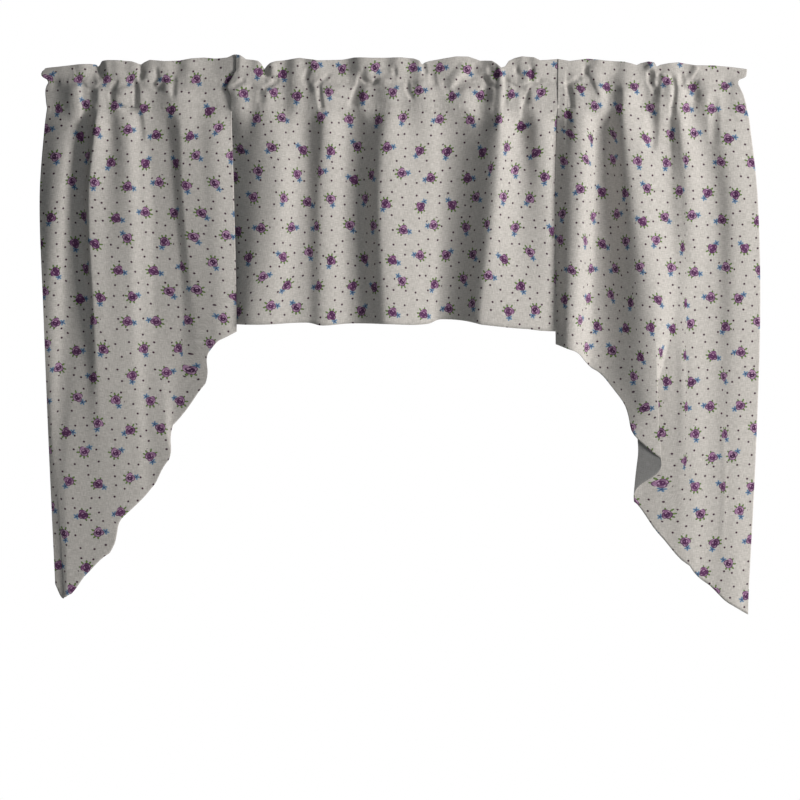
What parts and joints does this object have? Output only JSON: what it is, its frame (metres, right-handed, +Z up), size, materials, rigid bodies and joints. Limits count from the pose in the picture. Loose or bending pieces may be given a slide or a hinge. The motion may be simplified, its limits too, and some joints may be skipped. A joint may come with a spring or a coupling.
{
  "type": "window valance",
  "caption": "Gathered window valance in printed cotton: a straight centre panel between swags that run down to long points, each with a standing frill over an open rod pocket.",
  "frame": {"origin": "on the axis of the rod pocket just under the top edge, half way along the valance", "axes": "+X runs along the rod, to the right as seen from the front; the cloth's front faces -Y; +Z is up"},
  "size_m": [1.207, 0.0476, 0.933],
  "materials": {
    "printed_cotton": "matt linen-look cotton with a small sprigged rose print, plain grey on its wrong side"
  },
  "bodies": {
    "root": {"left_heading": "printed_cotton", "centre_heading": "printed_cotton", "right_heading": "printed_cotton", "left_swag": "printed_cotton", "centre_valance": "printed_cotton", "right_swag": "printed_cotton"}
  },
  "joints": []
}
